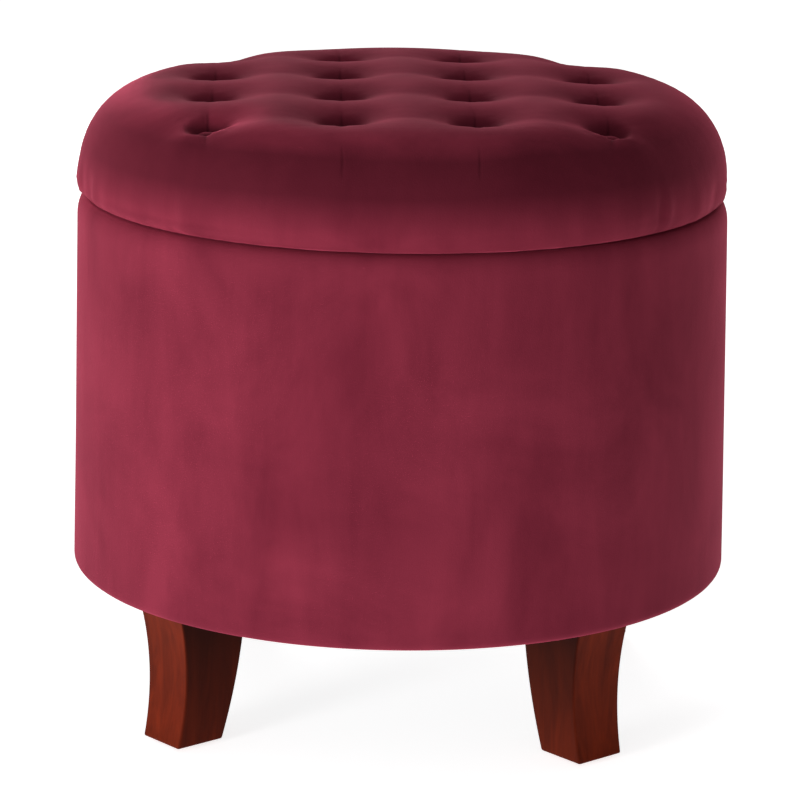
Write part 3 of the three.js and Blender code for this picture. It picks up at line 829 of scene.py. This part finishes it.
def storageLiner():
    low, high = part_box("wall_liner")
    wall = radiusOf("floor_liner") - liner["wallGap"]
    bend = liner["bend"]
    fold = quarter(5, lambda c, s: (wall + bend - bend * c, high.z - bend + bend * s))
    side = [(wall, low.z + (high.z - low.z - bend) * t) for t in np.linspace(0, 1, 60)[:-1]]
    bm = spun(side + fold + [(wall + liner["lap"], high.z), (high.x, high.z)], liner["steps"], closed=False)
    points = np.array([v.co for v in bm.verts])
    hang = (np.clip((high.z - points[:, 2]) / liner["calmTop"], 0, 1)
            * np.clip((points[:, 2] - low.z) / liner["calmFoot"], 0.2, 1))
    wrinkle = np.abs(smoothNoise(points * (1, 1, 0.25), 60.0, 31)) * liner["wallWrinkle"] * hang
    for vert, size in zip(bm.verts, wrinkle):
        vert.co -= Vector((vert.co.x, vert.co.y, 0)).normalized() * size
    bmesh.ops.recalc_face_normals(bm, faces=bm.faces)
    bmesh.ops.solidify(bm, geom=bm.faces, thickness=liner["cloth"])
    return finishPiece(bm, "storageLiner", "black_nonwoven", "barrel", "wall_liner")


wallCloth = storageLiner()
for name, node, body, seed, held, restsOn in (
    ("baseLiner", "floor_liner", "barrel", 32, "laid", "floor_board"),
    ("underCover", "dust_cover", "barrel", 33, "stretched", "floor_board"),
    ("lidLining", "lid_liner", "lid", 34, "stretched", "lid_board"),
):
    disk = clothDisk(name, node, body, seed)
print("liners done")

staple = {"width": 0.010, "wire": 0.0011, "proud": 0.00025, "inset": 0.006, "every": 10, "start": 3}


def staples(name, node, body, skip):
    low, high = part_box(node)
    ring = high.x - staple["inset"]
    bm = bmesh.new()
    for degrees in range(0, 360, staple["every"]):
        if skip and abs(degrees % 90 - 45) < skip:  # a leg stands here
            continue
        turn = math.radians(degrees + staple["start"])
        place = (Matrix.Rotation(turn, 4, "Z") @ Matrix.Translation((ring, 0, low.z))
                 @ Matrix.Diagonal((staple["wire"], staple["width"], staple["proud"] * 2, 1)))
        bmesh.ops.create_cube(bm, size=1.0, matrix=place)
    return finishPiece(bm, name, "steel", body, smooth=False)


staples("underStaples", "dust_cover", "barrel", 12)
staples("liningStaples", "lid_liner", "lid", 0)

ring = {"edge": 0.0012, "steps": 160}


def lidRing():
    low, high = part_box("locating_ring")
    screwLow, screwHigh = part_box("ring_screw_1")
    middle = math.hypot((screwLow.x + screwHigh.x) / 2, (screwLow.y + screwHigh.y) / 2)
    wide = high.x - middle
    inner, outer, edge = middle - wide, high.x, ring["edge"]
    outline = []
    for x, z, start in ((inner + edge, low.z + edge, math.pi), (outer - edge, low.z + edge, 1.5 * math.pi),
                        (outer - edge, high.z - edge, 0), (inner + edge, high.z - edge, math.pi / 2)):
        outline += [(x + edge * math.cos(t), z + edge * math.sin(t))
                    for t in np.linspace(start, start + math.pi / 2, 4)]
    return finishPiece(spun(outline, ring["steps"]), "lidRing", "plywood", "lid", "locating_ring", smooth=False)


lidRing()

screw = {"head": 0.0026, "shank": 0.0019, "tip": 0.003, "rim": 0.0003, "steps": 32, "turnEach": 0.4,
         "slotLong": 0.0046, "slotWide": 0.0009, "slotDeep": 0.0016}


# a countersunk wood screw, its head in the plane of the ring's lower face and cut with a cross
def ringScrew(number):
    node = f"ring_screw_{number}"
    low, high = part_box(node)
    middle = (low + high) / 2
    radius, shank = (high.x - low.x) / 2, screw["shank"]
    outline = [(0, 0), (radius - screw["rim"], 0), (radius, screw["rim"]), (shank, screw["head"]),
               (shank, high.z - low.z - screw["tip"]), (0, high.z - low.z)]
    bm = spun(outline, screw["steps"], closed=False)
    place = Matrix.Translation((middle.x, middle.y, low.z))
    bmesh.ops.transform(bm, matrix=place, verts=bm.verts)
    piece = finishPiece(bm, f"ringScrew_{number}", "steel", "lid", node, smooth=False)
    cross = bmesh.new()
    for turn in (0, math.pi / 2):
        spin = Matrix.Rotation(turn + screw["turnEach"] * number, 4, "Z")
        bmesh.ops.create_cube(cross, size=1.0, matrix=place @ spin
                              @ Matrix.Diagonal((screw["slotLong"], screw["slotWide"], screw["slotDeep"] * 2, 1)))
    mesh = bpy.data.meshes.new("crossCutter")
    cross.to_mesh(mesh)
    cross.free()
    cutter = bpy.data.objects.new("crossCutter", mesh)
    bpy.context.scene.collection.objects.link(cutter)
    recess = piece.modifiers.new("recess", "BOOLEAN")
    recess.object, recess.solver, recess.use_self = cutter, "EXACT", True
    cut = bpy.data.meshes.new_from_object(piece.evaluated_get(bpy.context.evaluated_depsgraph_get()))
    piece.modifiers.clear()
    piece.data = cut
    bpy.data.objects.remove(cutter)


for number in range(1, 5):
    ringScrew(number)
print("ring, screws and staples done")

view = {
    "distance": 2.689,
    "height": 0.8957,
    "pitch": 0.2441,
    "roll": 0.0140,
    "aside": 0.0699,
    "lens": 165.33,
}


def camera():
    data = bpy.data.cameras.new("camera")
    data.lens = view["lens"]
    data.sensor_width = 36.0
    data.clip_end = 50.0
    made = bpy.data.objects.new("camera", data)
    bpy.context.scene.collection.objects.link(made)
    aim = (Matrix.Rotation(view["aside"], 4, "Z") @ Matrix.Rotation(math.pi / 2 - view["pitch"], 4, "X")
           @ Matrix.Rotation(view["roll"], 4, "Z"))
    place = Vector((math.sin(view["aside"]), -math.cos(view["aside"]), 0)) * view["distance"]
    made.matrix_world = Matrix.Translation(place + Vector((0, 0, view["height"]))) @ aim
    bpy.context.scene.camera = made


studioLight = {
    "zenith": 0.34,
    "horizon": 0.60,
    "rightShare": 0.25,
    "floorGlow": 0.80,
    "keyPlace": (-1.9, -2.4, 0.28),
    "keySize": 1.0,
    "keyPower": 77,
    "backPlace": (-0.7, 2.6, 1.3),
    "backPower": 15,
    "aimHeight": 0.25,
}


def areaLight(name, place, size, power):
    data = bpy.data.lights.new(name, "AREA")
    data.shape = "DISK"
    data.size = size
    data.energy = power
    lamp = bpy.data.objects.new(name, data)
    bpy.context.scene.collection.objects.link(lamp)
    lamp.location = place
    aim = Vector((0, 0, studioLight["aimHeight"])) - Vector(place)
    lamp.rotation_euler = aim.to_track_quat("-Z", "Y").to_euler()


def paleFloor():
    bm = bmesh.new()
    bmesh.ops.create_grid(bm, x_segments=2, y_segments=2, size=12.0)
    mesh = bpy.data.meshes.new("floor")
    bm.to_mesh(mesh)
    bm.free()
    floor = bpy.data.objects.new("floor", mesh)
    bpy.context.scene.collection.objects.link(floor)
    material = bpy.data.materials.new("paleFloor")
    g = Graph(material)
    speck = g.noise(g.coords(), 40.0)
    g.surface(Base_Color=g.mix(speck, (0.80, 0.80, 0.80), (0.84, 0.84, 0.84)), Roughness=0.95,
              Specular_IOR_Level=0.0, Emission_Color=(1, 1, 1, 1), Emission_Strength=studioLight["floorGlow"])
    mesh.materials.append(material)


def softWorld():
    world = bpy.data.worlds.new("studio")
    world.use_nodes = True
    tree = world.node_tree
    where = tree.nodes.new("ShaderNodeTexCoord")
    split = tree.nodes.new("ShaderNodeSeparateXYZ")
    ramp = tree.nodes.new("ShaderNodeMapRange")
    ramp.inputs["From Min"].default_value = 0.0
    ramp.inputs["From Max"].default_value = 0.7
    ramp.inputs["To Min"].default_value = studioLight["horizon"]
    ramp.inputs["To Max"].default_value = studioLight["zenith"]
    tree.links.new(where.outputs["Generated"], split.inputs[0])
    tree.links.new(split.outputs["Z"], ramp.inputs["Value"])
    side = tree.nodes.new("ShaderNodeMapRange")  # the studio is dimmer on the right
    side.inputs["To Min"].default_value = 1.0
    side.inputs["To Max"].default_value = studioLight["rightShare"]
    tree.links.new(split.outputs["X"], side.inputs["Value"])
    both = tree.nodes.new("ShaderNodeMath")
    both.operation = "MULTIPLY"
    tree.links.new(ramp.outputs[0], both.inputs[0])
    tree.links.new(side.outputs[0], both.inputs[1])
    tree.links.new(both.outputs[0], tree.nodes["Background"].inputs["Strength"])
    tree.nodes["Background"].inputs["Color"].default_value = (1, 1, 1, 1)
    bpy.context.scene.world = world


def studio():
    paleFloor()
    softWorld()
    bpy.context.scene.view_settings.view_transform = "Standard"
    areaLight("keyLight", studioLight["keyPlace"], studioLight["keySize"], studioLight["keyPower"])
    areaLight("backLight", studioLight["backPlace"], 1.2, studioLight["backPower"])


camera()
studio()
print("stage done")
